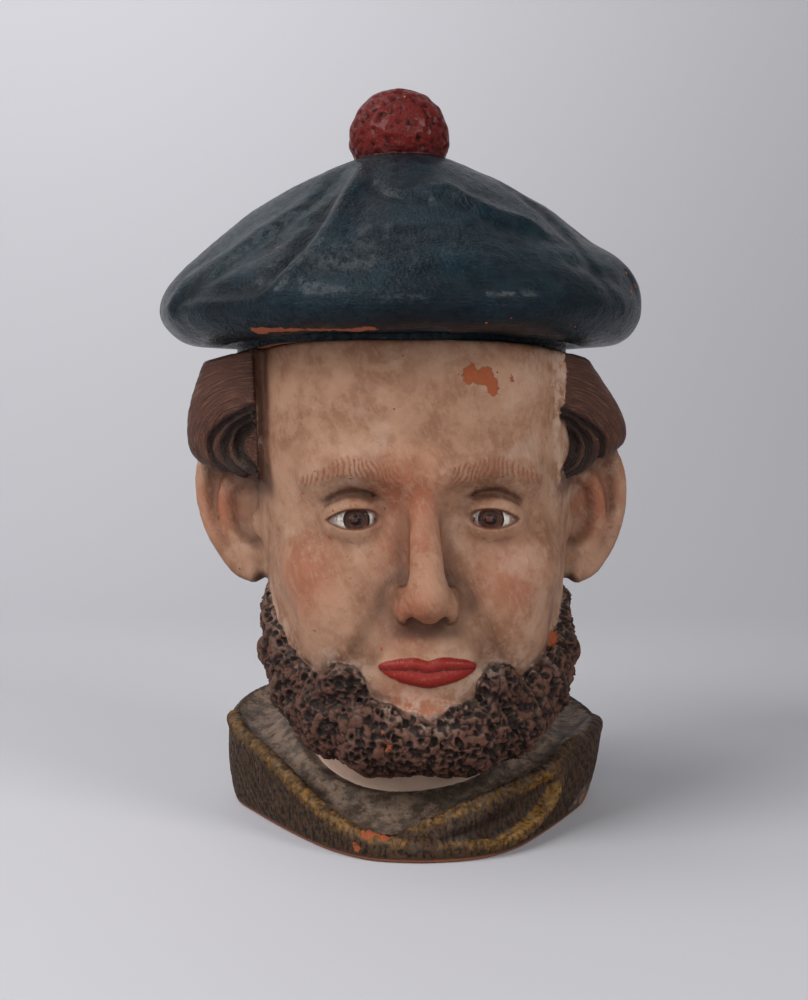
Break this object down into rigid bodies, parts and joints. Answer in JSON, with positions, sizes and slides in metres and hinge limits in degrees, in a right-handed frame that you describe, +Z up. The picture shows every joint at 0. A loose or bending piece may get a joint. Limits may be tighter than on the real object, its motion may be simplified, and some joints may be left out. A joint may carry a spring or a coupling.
{
  "type": "tobacco jar",
  "caption": "Hollow earthenware tobacco jar in the shape of a bearded head rising from a cloth collar, with a soft pompom cap that lifts off as its lid.",
  "frame": {"origin": "on the surface the jar stands on, at the middle of the collar's foot", "axes": "+Z up from the foot to the pompom, -Y the way the face looks, +X to the right of someone facing it"},
  "size_m": [0.1432, 0.1433, 0.2146],
  "materials": {
    "painted_earthenware": "cold-painted terracotta: flesh, brown hair and beard, brown cloth with worn ochre folds; satin, worn and dusty",
    "painted_cap": "cold-painted terracotta: dark blue-green cap and dark red pompom; semi-gloss with chipped edges"
  },
  "bodies": {
    "root": {"jar": "painted_earthenware", "lid": "painted_cap"}
  },
  "joints": []
}
